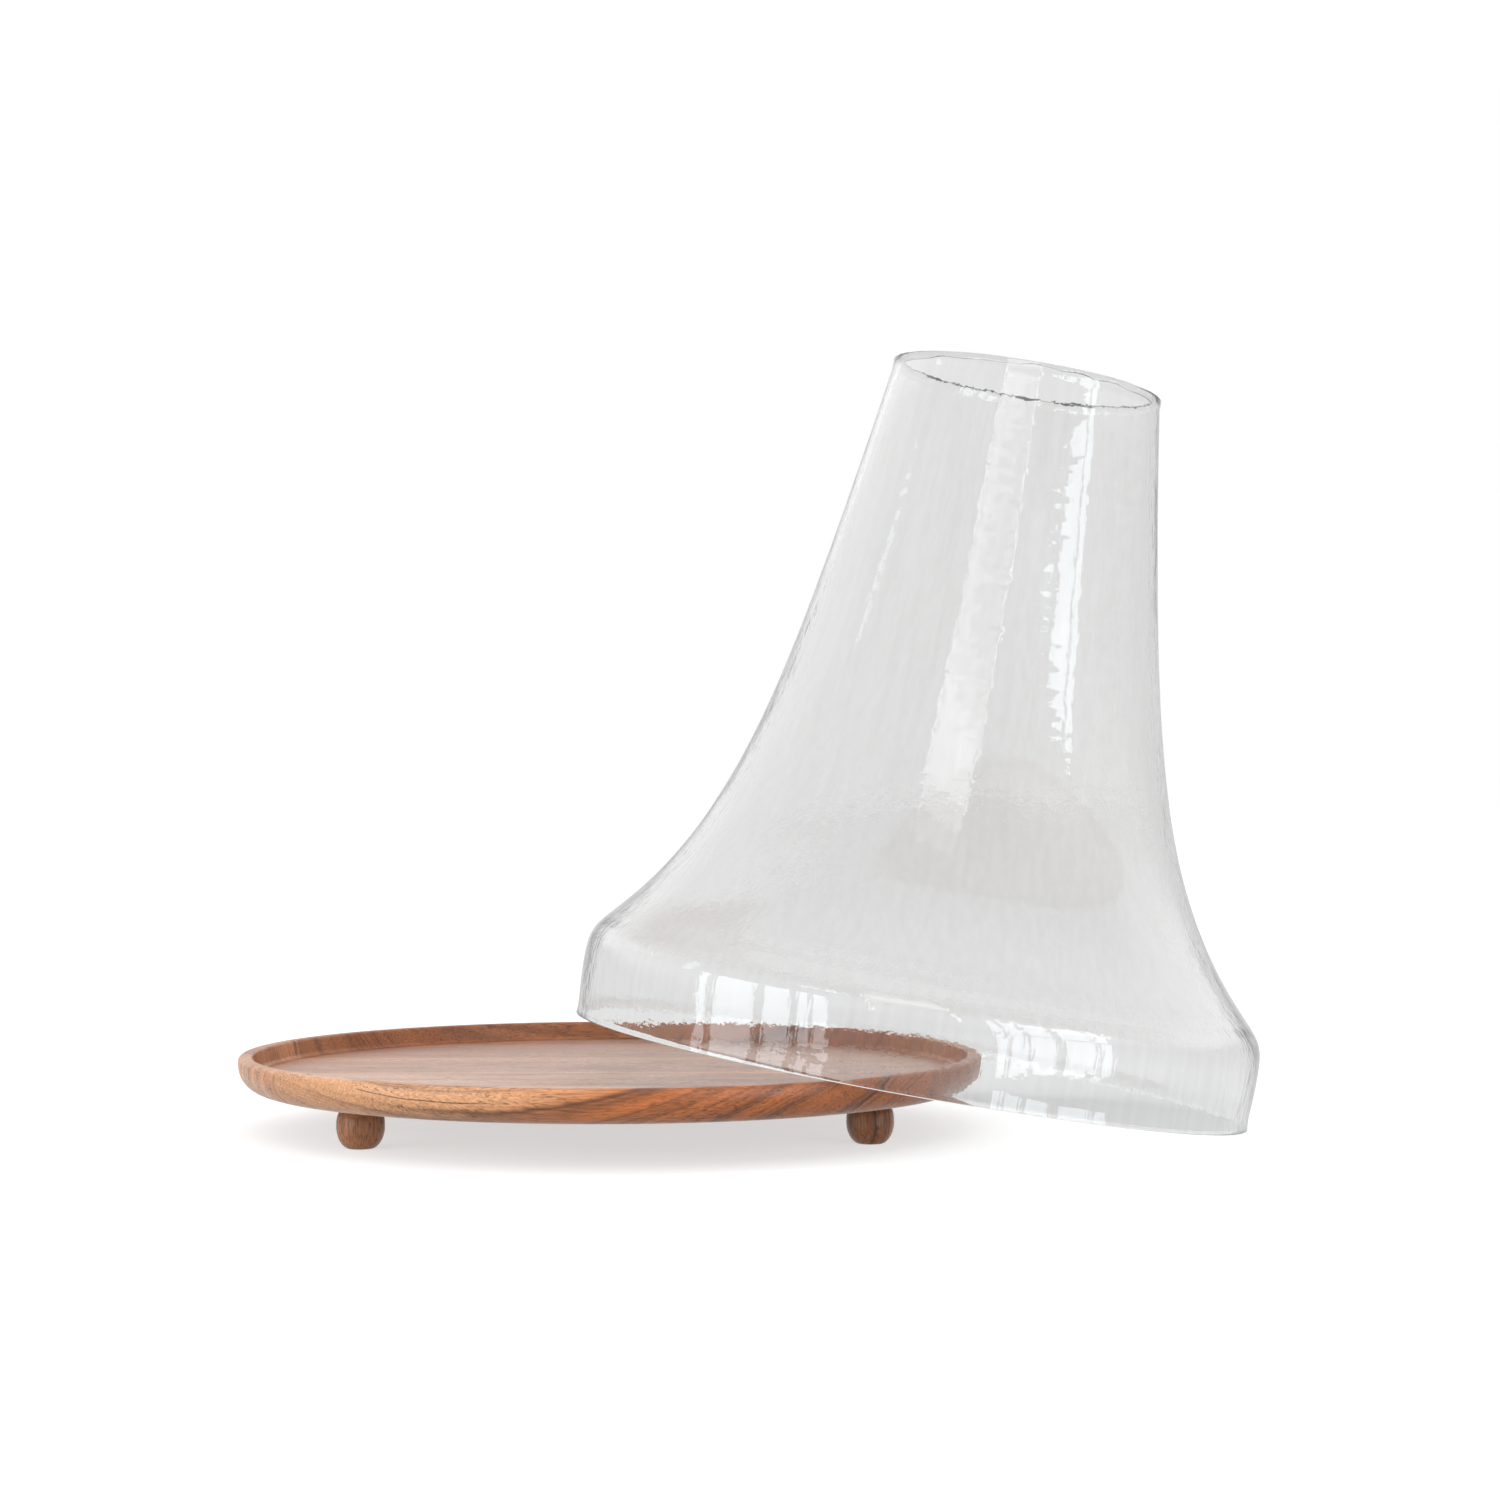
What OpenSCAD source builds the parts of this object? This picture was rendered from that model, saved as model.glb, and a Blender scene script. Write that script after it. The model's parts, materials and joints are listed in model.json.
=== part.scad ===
// Open-topped blown glass bell, leaning on the rim of the footed wooden tray that it covers.
// Millimetres. The surface they stand on is z = 0, +X runs from the tray towards the leaning
// bell, and the origin is under the middle of the pair.

/* [Tray] */
// Outside diameter of the tray
tray_d = 400; // [380:5:480]
// Thickness of the tray at its rim
tray_t = 18.4; // [17:0.1:21]
// Depth of the turned recess
recess_depth = 10; // [6:0.5:10]
// Width of the raised rim
rim_w = 7.5; // [6.5:0.5:12]
// Radius of the round between the tray's side and its underside
side_round = 14; // [8:0.5:14]
// Width of one glued board
board_w = 90; // [80:1:93]
// Distance of the first glue line in front of the tray's middle
first_joint = 110.5; // [105:0.5:115]
// Turn of the boards' grain from the lean, in degrees
grain_turn = -4.5; // [-20:0.5:20]

/* [Feet] */
// Height of a foot
foot_h = 23.6; // [20:0.1:26]
// Widest diameter of a foot
foot_d = 25; // [22:0.5:30]
// Diameter of the circle that the feet stand on
foot_circle_d = 305; // [280:1:310]
// Outside diameter of a foot's screw
screw_d = 4; // [3:0.5:4.5]

/* [Glass bell] */
// Height of the bell along its own axis
bell_h = 382.5; // [300:0.5:450]
// Outside diameter at the bottom edge
base_d = 369; // [350:0.5:376]
// Outside diameter at the mouth
mouth_d = 148; // [110:1:190]
// Wall thickness
wall = 3.5; // [3:0.1:5]
// Half-angle of the neck, in degrees
neck_taper = 8.1; // [4:0.1:12]
// How far the flare has spread from the neck's line at shoulder_h
flare_gain = 47; // [38:1:52]
// Height of that point
shoulder_h = 69; // [64:1:74]
// Height over which the flare shrinks to about a third
flare_len = 67; // [55:1:80]
// Outward swell of the skirt
skirt_bulge = 1.8; // [0:0.1:3]
// Softness of the shoulder
shoulder_blend = 3.6; // [2:0.1:6]
// Lean of the bell, in degrees
lean = 9.8; // [8:0.1:12]

/* [Hidden] */
$fn = 180;

wood_colour = [0.62, 0.40, 0.27];
foot_colour = [0.42, 0.28, 0.20];
steel_colour = [0.70, 0.71, 0.72];
glass_colour = [0.86, 0.89, 0.88, 0.35];

tray_r = tray_d / 2;
rim_z = foot_h + tray_t;
floor_z = rim_z - recess_depth;
recess_r = tray_r - rim_w;
crest_round = 2.5;
inner_round = 1.5;
recess_draft = 1;
cove_r = 2.5;
slab_reach = tray_d + 20;

// Where the feet stand round the tray, counted from the direction of the lean
foot_angles = [-150, -30, 90];
foot_r = foot_d / 2;
// A foot's outline is the middle part of a fat oval this much taller than the foot
foot_oval_h = foot_h * 1.143;
foot_swell = 2.3;
foot_steps = 18;
screw_r = screw_d / 2;
pilot_slack = 0.05;
shank_slack = 0.25;
head_r = screw_d;
head_h = screw_d * 0.6;
head_chamfer = 0.8;
head_slack = 0.4;
head_recess = 3;
screw_bite = 6;
pilot_h = screw_bite + 0.3;
thread_pitch = 1.8;
thread_count = 7;
core_r = screw_r * 0.7;
tip_h = 2;
slot_w = 1;
slot_depth = 1;

base_r = base_d / 2;
neck_r = mouth_d / 2 - flare_gain * exp((shoulder_h - bell_h) / flare_len);
bulge_h = 45;
lip = 1;
mouth_lip = 0.5;
outline_steps = 48;
outline_crowding = 1.5;
slope_step = 0.5;
contact_gap = 0.3;

// The bell's bottom edge lies on the surface at one point and on the tray's crest at two.
bell_z = base_r * sin(lean);
contact_run = (rim_z + contact_gap - bell_z) / sin(lean);
contact_y = sqrt(pow(base_r - wall + lip, 2) - pow(contact_run, 2));
contact_x = sqrt(pow(tray_r - crest_round, 2) - pow(contact_y, 2));
bell_offset = contact_x + contact_run * cos(lean);

// The tray stands left of the origin, so that the origin is under the middle of the pair.
outline_heights = [for (i = [0:outline_steps]) bell_h * pow(i / outline_steps, outline_crowding)];
bell_reach = max([for (s = outline_heights) s * sin(lean) + bell_r(s) * cos(lean)]);
tray_x = (tray_r - bell_offset - bell_reach) / 2;
bell_x = tray_x + bell_offset;

function skirt_r(s) = base_r + skirt_bulge * sin(135 * min(s / bulge_h, 1));
function flare_r(s) =
    neck_r + (bell_h - s) * tan(neck_taper) + flare_gain * exp((shoulder_h - s) / flare_len);
// The smaller of skirt and flare, blended smoothly where they meet at the shoulder
function bell_r(s) =
    skirt_r(s) - shoulder_blend * ln(1 + exp((skirt_r(s) - flare_r(s)) / shoulder_blend));
function bell_slope(s) = (bell_r(s + slope_step) - bell_r(s - slope_step)) / (2 * slope_step);
function bell_inner_r(s) = bell_r(s) - wall * sqrt(1 + pow(bell_slope(s), 2));

function arc(x, y, r, from, to, steps = 8) =
    [for (i = [0:steps]) let (a = from + (to - from) * i / steps) [x + r * cos(a), y + r * sin(a)]];
function reversed(list) = [for (i = [len(list) - 1:-1:0]) list[i]];
function foot_profile_r(z) =
    foot_r * pow(1 - pow(abs(2 * z - foot_h) / foot_oval_h, foot_swell), 1 / foot_swell);

// Puts a foot or its screw at an angle round the tray, counted from the lean
module at_foot(angle) {
    translate([tray_x, 0, 0])
        rotate([0, 0, angle])
            translate([foot_circle_d / 2, 0, 0])
                children();
}

// The whole turned tray, with its crest, recess and rounded side
module turned_tray() {
    outline = concat(
        [[0, foot_h]],
        arc(tray_r - side_round, foot_h + side_round, side_round, -90, 0, 12),
        arc(tray_r - crest_round, rim_z - crest_round, crest_round, 0, 90),
        arc(recess_r + inner_round, rim_z - inner_round, inner_round, 90, 180, 5),
        arc(recess_r - recess_draft - cove_r, floor_z + cove_r, cove_r, 0, -90, 5),
        [[0, floor_z]]
    );
    rotate_extrude() polygon(outline);
}

// One of the boards that the tray is glued up from, between two lines along the grain
module tray_board(from_y, to_y) {
    color(wood_colour)
        difference() {
            intersection() {
                translate([tray_x, 0, 0]) turned_tray();
                translate([tray_x, 0, 0])
                    rotate([0, 0, grain_turn])
                        translate([-slab_reach / 2, from_y, 0])
                            cube([slab_reach, to_y - from_y, rim_z + 1]);
            }
            for (angle = foot_angles)
                at_foot(angle)
                    translate([0, 0, foot_h - 1])
                        cylinder(r = screw_r + pilot_slack, h = pilot_h + 1, $fn = 32);
        }
}

module front_board() {
    tray_board(-tray_r - 1, -first_joint);
}

module front_middle_board() {
    tray_board(-first_joint, board_w - first_joint);
}

module middle_board() {
    tray_board(board_w - first_joint, 2 * board_w - first_joint);
}

module back_middle_board() {
    tray_board(2 * board_w - first_joint, 3 * board_w - first_joint);
}

module back_board() {
    tray_board(3 * board_w - first_joint, tray_r + 1);
}

// A turned bun foot, bored from below for its screw
module foot(angle) {
    heights = [for (i = [0:foot_steps]) foot_h * i / foot_steps];
    outline = concat([[0, 0]], [for (z = heights) [foot_profile_r(z), z]], [[0, foot_h]]);
    color(foot_colour)
        at_foot(angle)
            difference() {
                rotate_extrude($fn = 96) polygon(outline);
                translate([0, 0, -1])
                    cylinder(r = screw_r + shank_slack, h = foot_h + 2, $fn = 32);
                translate([0, 0, -1])
                    cylinder(r = head_r + head_slack, h = head_recess + head_h + 1, $fn = 48);
            }
}

module front_left_foot() {
    foot(foot_angles[0]);
}

module front_right_foot() {
    foot(foot_angles[1]);
}

module back_foot() {
    foot(foot_angles[2]);
}

// A flat-bearing slotted wood screw, driven up through a foot into the tray
module screw(angle) {
    head_top = head_recess + head_h;
    point_z = foot_h + screw_bite;
    thread_z = point_z - tip_h - thread_count * thread_pitch;
    ridge = [
        for (i = [0:thread_count - 1])
            each [
                [core_r, thread_z + i * thread_pitch],
                [screw_r, thread_z + (i + 0.5) * thread_pitch],
            ]
    ];
    outline = concat(
        [[0, head_recess], [head_r - head_chamfer, head_recess]],
        [[head_r, head_recess + head_chamfer], [head_r, head_top]],
        [[screw_r, head_top], [screw_r, thread_z - 1]],
        ridge,
        [[core_r, point_z - tip_h], [0, point_z]]
    );
    color(steel_colour)
        at_foot(angle)
            difference() {
                rotate_extrude($fn = 48) polygon(outline);
                translate([-head_r, -slot_w / 2, head_recess - 1])
                    cube([2 * head_r, slot_w, slot_depth + 1]);
            }
}

module front_left_screw() {
    screw(foot_angles[0]);
}

module front_right_screw() {
    screw(foot_angles[1]);
}

module back_screw() {
    screw(foot_angles[2]);
}

// The blown glass bell: a skirt, a rounded shoulder, a flare and an open neck, all one wall
module glass_bell() {
    inner_base_r = bell_inner_r(lip);
    inner_mouth_r = bell_inner_r(bell_h);
    heights = [for (s = outline_heights) if (s > lip && s < bell_h - mouth_lip) s];
    outline = concat(
        arc(inner_base_r + lip, lip, lip, -180, -90, 4),
        arc(base_r - lip, lip, lip, -90, 0, 4),
        [for (s = heights) [bell_r(s), s]],
        [[mouth_d / 2, bell_h - mouth_lip], [mouth_d / 2 - mouth_lip, bell_h]],
        [[inner_mouth_r + mouth_lip, bell_h], [inner_mouth_r, bell_h - mouth_lip]],
        reversed([for (s = heights) [bell_inner_r(s), s]])
    );
    color(glass_colour)
        translate([bell_x, 0, bell_z])
            rotate([0, lean, 0])
                rotate_extrude() polygon(outline);
}

front_board();
front_middle_board();
middle_board();
back_middle_board();
back_board();
front_left_foot();
front_right_foot();
back_foot();
front_left_screw();
front_right_screw();
back_screw();
glass_bell();
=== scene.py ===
"""Looks of a blown glass bell that leans on its footed wooden tray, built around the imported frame."""

import json
import math

import bmesh
import bpy
import numpy as np
from mathutils import Matrix, Vector, noise


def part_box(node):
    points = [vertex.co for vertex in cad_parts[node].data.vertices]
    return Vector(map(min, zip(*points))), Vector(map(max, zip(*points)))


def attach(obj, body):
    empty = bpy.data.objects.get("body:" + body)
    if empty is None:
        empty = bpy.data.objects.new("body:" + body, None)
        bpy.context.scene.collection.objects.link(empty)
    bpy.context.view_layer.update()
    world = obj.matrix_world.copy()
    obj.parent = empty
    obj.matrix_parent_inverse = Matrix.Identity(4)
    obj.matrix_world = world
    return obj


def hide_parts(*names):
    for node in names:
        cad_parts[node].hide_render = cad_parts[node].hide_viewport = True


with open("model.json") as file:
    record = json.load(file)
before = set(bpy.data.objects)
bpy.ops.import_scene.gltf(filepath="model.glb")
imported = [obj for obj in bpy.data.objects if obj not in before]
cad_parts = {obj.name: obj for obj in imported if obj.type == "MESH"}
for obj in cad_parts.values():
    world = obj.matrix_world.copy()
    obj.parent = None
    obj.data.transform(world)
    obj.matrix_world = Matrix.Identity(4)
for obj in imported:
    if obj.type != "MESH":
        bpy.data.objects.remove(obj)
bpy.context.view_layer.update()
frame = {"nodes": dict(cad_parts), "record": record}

MM = 0.001
BOARDS = ["front_board", "front_middle_board", "middle_board", "back_middle_board", "back_board"]
FEET = ["front_left_foot", "front_right_foot", "back_foot"]
SCREWS = ["front_left_screw", "front_right_screw", "back_screw"]
BELL = "glass_bell"

# The boards' grain runs this far round from the lean
GRAIN_TURN = math.radians(-4.5)
# The tray's turned outline
RIM_W = 7.5 * MM
CREST_ROUND = 2.5 * MM
INNER_ROUND = 1.5 * MM
RECESS_DRAFT = 1 * MM
COVE_R = 2.5 * MM
SIDE_ROUND = 14 * MM
# A foot's outline is the middle part of a fat oval this much taller than the foot
FOOT_OVAL = 1.143
FOOT_SWELL = 2.3
FOOT_BORE_R = 2.25 * MM
FOOT_HEAD_R = 4.4 * MM
FOOT_HEAD_DEPTH = 5.4 * MM
FOOT_EDGE = 0.5 * MM
# The depths of the lines turned on a foot, by the step up its side that each lies at
FOOT_GROOVES = {11: 0.10 * MM, 20: 0.08 * MM, 29: 0.12 * MM}
# How deep sanding has let the turned tray in, at most, and where it is deepest
SANDING = 0.12 * MM
SANDING_R = 190 * MM
# Mesh steps
TRAY_SEGMENTS = 360
FOOT_SEGMENTS = 96
FOOT_STEPS = 40
BELL_SEGMENTS = 288
BELL_ROWS = 150

# The bell's lip and mouth. Its CAD rows between LIP_ZONE and MOUTH_ZONE from the ends make its walls
LIP_ROUND = 0.5 * MM
LIP_STEPS = 4
LIP_ZONE = 1.5 * MM
MOUTH_EDGE = 0.6 * MM
MOUTH_ZONE = 0.6 * MM
MOUTH_POINTS = 6
LIP_POINTS = 2 * (LIP_STEPS + 1)
LEAST_WALL = 3 * MM
# The skirt's wall is thinner by this much, up to the first height, and comes back by the second
SKIRT_THIN = 1.7 * MM
SKIRT_RISE = (30 * MM, 120 * MM)
# Blown glass: both faces share the broad waves, and each has its own thickness waves. Each layer is
# (waves a metre round, waves a metre up, height, seed). The waves grow from nothing at the lip to
# their full height at WAVES_START, and WAVES_IN keeps them inside the CAD outline.
SHARED_WAVES = [(5, 4, 0.6 * MM, 1.0), (16, 8, 0.22 * MM, 7.0)]
OUTER_WAVES = [(34, 22, 0.05 * MM, 21.0), (85, 10, 0.012 * MM, 33.0)]
INNER_WAVES = [(20, 12, 0.18 * MM, 41.0), (80, 10, 0.02 * MM, 55.0)]
WAVES_IN = 0.65 * MM
WAVES_START = 8 * MM
MOUTH_UNEVEN = 0.3 * MM
MOUTH_CHIPPED = 1.3 * MM
# The top of the mouth beyond here, on its far side, gets painted shade; the near side stays clear glass
RIM_SHADE_FROM = -12 * MM

# The photograph's viewing angle: how far round and up the camera looks, how far it stands from the
# middle of its view, in metres, and its focal length, in millimetres
VIEW_AZIMUTH = math.radians(4.7)
VIEW_RISE = math.radians(0.155)
VIEW_DISTANCE = 1.742
VIEW_TARGET = (-0.0015, -0.0062, 0.2053)
VIEW_LENS = 77.1


# ---------------------------------------------------------------- measures taken from the frame


def mount(name):
    """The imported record's mount of that name."""
    return next(m for m in frame["record"]["mounts"] if m["name"] == name)


def node_points(name):
    """Every vertex of a CAD node, in the row frame."""
    node = frame["nodes"][name]
    return [node.matrix_world @ v.co for v in node.data.vertices]


def tray_measures():
    """The tray's middle, radius and heights, from its floor's mount and its boards' boxes."""
    floor = mount("tray_floor")["pos_m"]
    lows, highs = zip(*[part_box(board) for board in BOARDS])
    return {
        "x": floor[0],
        "floor": floor[2],
        "rim": max(high[2] for high in highs),
        "under": min(low[2] for low in lows),
        "r": max(high[0] for high in highs) - floor[0],
    }


def bell_place():
    """The bell's own frame: its base's centre as origin and its axis as Z."""
    base = mount("bell_base")
    axis = -Vector(base["axis"])
    centre = Vector((base["pos_m"][0], 0, base["pos_m"][2]))
    turn = Vector((0, 0, 1)).rotation_difference(axis).to_matrix().to_4x4()
    return Matrix.Translation(centre) @ turn


# ---------------------------------------------------------------- meshes


def arc(x, y, radius, start, stop, steps):
    """Points of an arc, with angles in degrees."""
    angles = [math.radians(start + (stop - start) * i / steps) for i in range(steps + 1)]
    return [(x + radius * math.cos(a), y + radius * math.sin(a)) for a in angles]


def line(start, stop, steps):
    """The points between two points, without either."""
    (x0, y0), (x1, y1) = start, stop
    return [(x0 + (x1 - x0) * i / steps, y0 + (y1 - y0) * i / steps) for i in range(1, steps)]


def lathe(outline, segments, closed):
    """Vertices and faces of an outline of (radius, height) turned round Z, which runs anticlockwise
    seen with the radius to the right. An open outline starts and ends on the axis."""
    rows = outline if closed else outline[1:-1]
    angles = [2 * math.pi * i / segments for i in range(segments)]
    points = [(r * math.cos(a), r * math.sin(a), z) for r, z in rows for a in angles]
    faces = []
    for j in range(len(rows) if closed else len(rows) - 1):
        below, above = j * segments, (j + 1) % len(rows) * segments
        for i in range(segments):
            k = (i + 1) % segments
            faces.append((below + i, below + k, above + k, above + i))
    if not closed:
        last = (len(rows) - 1) * segments
        points += [(0, 0, outline[0][1]), (0, 0, outline[-1][1])]
        for i in range(segments):
            k = (i + 1) % segments
            faces.append((len(points) - 2, k, i))
            faces.append((len(points) - 1, last + i, last + k))
    return points, faces


def new_mesh(name, points, faces):
    """A mesh made from points and faces, without any bad face."""
    mesh = bpy.data.meshes.new(name)
    mesh.from_pydata([tuple(p) for p in points], [], faces)
    mesh.validate()
    return mesh


def smooth(mesh, sharp_angle):
    """Smooth shading with edges over sharp_angle, in degrees, kept sharp."""
    work = bmesh.new()
    work.from_mesh(mesh)
    for face in work.faces:
        face.smooth = True
    for edge in work.edges:
        edge.smooth = edge.calc_face_angle(0) < math.radians(sharp_angle)
    work.to_mesh(mesh)
    work.free()


def add_piece(name, mesh, place, body, material, node):
    """Puts a piece in place in the row frame, sets what it rides on and is made of, and hides its CAD
    node.
    """
    mesh.transform(place)
    piece = bpy.data.objects.new(name, mesh)
    bpy.context.scene.collection.objects.link(piece)
    mesh.materials.append(material)
    bpy.context.view_layer.update()
    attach(piece, body)
    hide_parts(node)
    return piece


# ---------------------------------------------------------------- material nodes


class Nodes:
    """A node tree that is added to node by node. Each method adds a node and returns its output."""

    def __init__(self, tree):
        self.tree = tree

    def feed(self, socket, value):
        if isinstance(value, bpy.types.NodeSocket):
            self.tree.links.new(value, socket)
        else:
            socket.default_value = value

    def node(self, kind, inputs=(), output=0, **settings):
        made = self.tree.nodes.new(kind)
        for key, value in settings.items():
            setattr(made, key, value)
        for key, value in dict(inputs).items():
            self.feed(made.inputs[key], value)
        return made.outputs[output]

    def math(self, operation, *values):
        return self.node("ShaderNodeMath", dict(enumerate(values)), operation=operation)

    def vector(self, operation, *values, output="Vector"):
        inputs = dict(enumerate(values))
        return self.node("ShaderNodeVectorMath", inputs, output, operation=operation)

    def split(self, vector):
        """The three outputs X, Y and Z."""
        made = self.tree.nodes.new("ShaderNodeSeparateXYZ")
        self.feed(made.inputs[0], vector)
        return made.outputs

    def join(self, x, y, z):
        return self.node("ShaderNodeCombineXYZ", {0: x, 1: y, 2: z})

    def noise(self, place, stretch, shift=0.0, detail=2.0, roughness=0.5):
        """Noise with about stretch waves a metre along each axis. shift gives another piece of it."""
        moved = self.node(
            "ShaderNodeMapping",
            {"Vector": place, "Scale": stretch, "Location": (shift, 1.7 * shift, -2.3 * shift)},
        )
        inputs = {"Vector": moved, "Scale": 1.0, "Detail": detail, "Roughness": roughness}
        return self.node("ShaderNodeTexNoise", inputs)

    def fade(self, value, start, stop, low=0.0, high=1.0):
        """value taken smoothly from low at start to high at stop."""
        inputs = {0: value, 1: start, 2: stop, 3: low, 4: high}
        return self.node("ShaderNodeMapRange", inputs, interpolation_type="SMOOTHSTEP")

    def mix(self, share, first, second):
        """The first colour where share is 0, and the second where it is 1."""
        made = self.tree.nodes.new("ShaderNodeMix")
        made.data_type = "RGBA"
        self.feed(made.inputs[0], share)
        self.feed(made.inputs[6], first)
        self.feed(made.inputs[7], second)
        return made.outputs[2]

    def bump(self, height, distance, strength=1.0):
        """A normal that follows a height, which is distance where the height is 1."""
        inputs = {"Height": height, "Distance": distance, "Strength": strength}
        return self.node("ShaderNodeBump", inputs)


class Shade(Nodes):
    """A material for a piece whose own frame is home."""

    def __init__(self, name, home=Matrix.Identity(4)):
        self.home = home
        self.material = bpy.data.materials.new(name)
        self.material.use_nodes = True
        super().__init__(self.material.node_tree)
        self.shader = self.tree.nodes["Principled BSDF"]
        self.out = self.tree.nodes["Material Output"]

    def place(self):
        """Coordinates in the piece's own frame, in metres."""
        inputs = {
            "Vector": self.node("ShaderNodeTexCoord", output="Object"),
            "Location": self.home.to_translation(),
            "Rotation": self.home.to_euler(),
        }
        return self.node("ShaderNodeMapping", inputs, vector_type="TEXTURE")

    def finish(self, **inputs):
        """Sets the shader's inputs, and returns the material."""
        for key, value in inputs.items():
            self.feed(self.shader.inputs[key.replace("_", " ")], value)
        return self.material


# ---------------------------------------------------------------- wood


def wood_place(shade, upright):
    """Coordinates with X along the grain, in metres."""
    place = shade.place()
    if not upright:
        return place
    x, y, z = shade.split(place)
    return shade.join(z, x, y)


# How the growth wanders, broadly and finely: (waves a metre, reach)
WANDERS = [((3, 14, 14), 14 * MM), ((14, 60, 60), 2.6 * MM)]


def growth(shade, place, look):
    """How deep in the tree's growth a point lies, in metres: the wood's figure follows it."""
    x, y, z = shade.split(place)
    tilt = math.radians(look["tilt"])
    off = shade.math("SUBTRACT", x, look["bow_x"])
    bow = shade.math("MULTIPLY", shade.math("MULTIPLY", off, off), look["bow"])
    depth = shade.math("MULTIPLY", z, math.cos(tilt))
    depth = shade.math("MULTIPLY_ADD", y, math.sin(tilt), depth)
    depth = shade.math("SUBTRACT", depth, bow)
    for stretch, reach in WANDERS:
        wander = shade.noise(place, stretch, look["seed"], detail=1.5)
        wander = shade.math("SUBTRACT", wander, 0.5)
        depth = shade.math("MULTIPLY_ADD", wander, reach, depth)
    return depth


def zones(shade, x, along, look):
    """Broad pale and reddish zones, with a darker right-hand end."""
    zone = shade.noise(along, (1.3, 30, 1), look["seed"] + 3, detail=2)
    drift = shade.math("MULTIPLY", shade.math("SUBTRACT", x, look["light_end"]), look["darkens"])
    zone = shade.math("ADD", drift, zone)
    colour = shade.mix(shade.fade(zone, 0.35, 0.68), look["light"], look["middle"])
    tail = shade.fade(x, 20 * MM, 170 * MM, 0.0, look["tail"])
    return shade.mix(tail, colour, look["dark"])


def veins(shade, place, along, colour, look):
    """Thin dark veins, in patches."""
    vein = shade.noise(along, (1.6, 75, 1), look["seed"] + 13, detail=3)
    vein = shade.math("ABSOLUTE", shade.math("SUBTRACT", vein, 0.5))
    vein = shade.fade(vein, 0.0, 0.028, 1.0, 0.0)
    where = shade.noise(place, (6, 30, 30), look["seed"] + 17, detail=2)
    where = shade.fade(where, 0.46, 0.6, 0.0, look["veining"])
    return shade.mix(shade.math("MULTIPLY", vein, where), colour, look["vein"])


def dark_streak(shade, place, x, depth, colour, look):
    """One frayed dark streak at a given depth in the growth, fainter towards the left."""
    fray = shade.noise(place, (30, 300, 300), look["seed"] + 19, detail=3)
    off = shade.math("SUBTRACT", depth, look["streak"])
    off = shade.math("MULTIPLY_ADD", fray, 4 * MM, off)
    off = shade.math("ABSOLUTE", shade.math("SUBTRACT", off, 2 * MM))
    streak = shade.fade(off, 0.0, 2.6 * MM, 0.75, 0.0)
    streak = shade.math("MULTIPLY", streak, shade.fade(x, -130 * MM, -50 * MM, 0.15, 1.0))
    return shade.mix(streak, colour, look["vein"])


def wood_figure(shade, place, look):
    """The wood's colour before its fibres and pores: zones, bands, dark veins and any streak."""
    x = shade.split(place)["X"]
    depth = growth(shade, place, look)
    along = shade.join(x, depth, 0.0)
    colour = zones(shade, x, along, look)
    bands = shade.noise(along, (2.0, 170, 1), look["seed"] + 7, detail=5, roughness=0.6)
    bands = shade.fade(bands, 0.44, 0.72, 0.0, look["banding"])
    colour = shade.mix(bands, colour, look["dark"])
    colour = veins(shade, place, along, colour, look)
    if "streak" in look:
        colour = dark_streak(shade, place, x, depth, colour, look)
    return colour


def knot(shade, place, colour, look):
    """A small ragged dark knot with a browner ring round it."""
    ragged = shade.noise(place, (400, 400, 400), look["seed"] + 41, detail=3)
    reach = shade.vector("DISTANCE", place, look["knot"], output="Value")
    reach = shade.math("MULTIPLY_ADD", ragged, 8 * MM, reach)
    ring = shade.mix(shade.fade(reach, 8 * MM, 16 * MM, 0.5, 0.0), colour, look["middle"])
    return shade.mix(shade.fade(reach, 6 * MM, 9 * MM, 0.95, 0.0), ring, look["vein"])


# The painted sheen on the recess's floor fades out between these radii, and comes in between these
# heights
FLOOR_SHEEN_R = (184 * MM, 188 * MM)
FLOOR_SHEEN_Z = (28 * MM, 31 * MM)
# The pale grey of the painted sheen, standing in for the floor's reflection at a grazing view
FLOOR_SHEEN_COLOUR = (0.75, 0.69, 0.64, 1)


def painted_floor_sheen(shade, place, colour, share):
    """Painted sheen: the recess's floor is mixed paler and greyer, for its reflection at a grazing view.
    """
    x, y, z = shade.split(place)
    reach = shade.vector("LENGTH", shade.join(x, y, 0.0), output="Value")
    inside = shade.fade(reach, *FLOOR_SHEEN_R, share, 0.0)
    inside = shade.math("MULTIPLY", inside, shade.fade(z, *FLOOR_SHEEN_Z))
    return shade.mix(inside, colour, FLOOR_SHEEN_COLOUR)


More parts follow.
